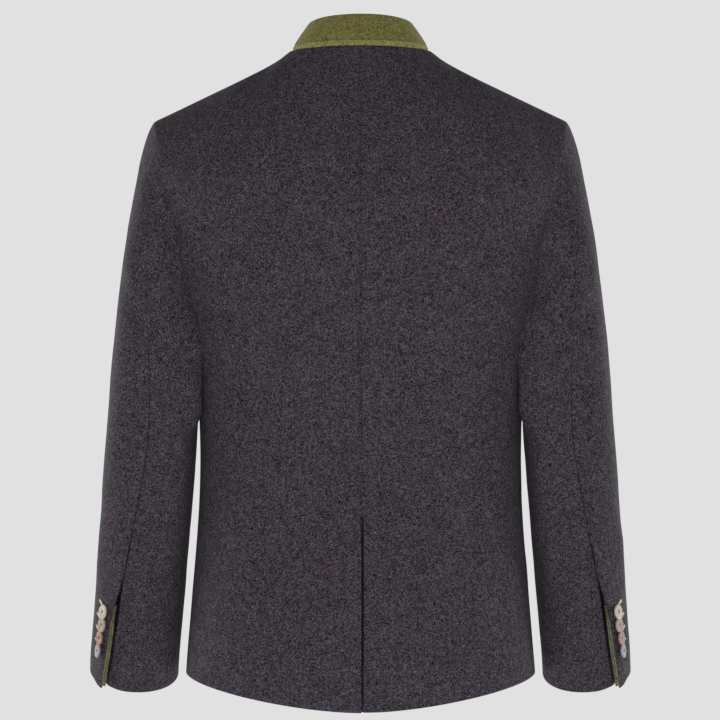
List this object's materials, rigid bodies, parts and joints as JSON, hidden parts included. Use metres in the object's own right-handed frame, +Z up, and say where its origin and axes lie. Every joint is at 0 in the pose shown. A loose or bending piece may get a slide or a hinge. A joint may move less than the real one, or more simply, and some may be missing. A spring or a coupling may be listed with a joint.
{
  "type": "trachten coat",
  "caption": "Hip-length folk dress coat, worn and hollow: wool body with a stand collar, two-piece sleeves with buttoned cuff vents, centre back vent and buttoned front.",
  "frame": {"origin": "on the mid plane, level with and between the neck ends of the two shoulder seams, where a wearer's shoulders carry the coat", "axes": "+Z up, +Y towards the back of the coat, +X towards the wearer's left"},
  "size_m": [0.6128, 0.2562, 0.7555],
  "materials": {
    "charcoal_wool": "napped melange wool",
    "green_wool": "felted wool",
    "horn": "polished horn"
  },
  "bodies": {
    "root": {"back_left": "charcoal_wool", "back_right": "charcoal_wool", "collar": "green_wool", "cuff_button_left_1": "horn", "cuff_button_left_2": "horn", "cuff_button_left_3": "horn", "cuff_button_left_4": "horn", "cuff_button_right_1": "horn", "cuff_button_right_2": "horn", "cuff_button_right_3": "horn", "cuff_button_right_4": "horn", "cuff_piping_left": "green_wool", "cuff_piping_right": "green_wool", "front_button_1": "horn", "front_button_2": "horn", "front_button_3": "horn", "front_button_4": "horn", "front_button_5": "horn", "front_left": "charcoal_wool", "front_right": "charcoal_wool", "top_sleeve_left": "charcoal_wool", "top_sleeve_right": "charcoal_wool", "under_sleeve_left": "charcoal_wool", "under_sleeve_right": "charcoal_wool"}
  },
  "joints": []
}
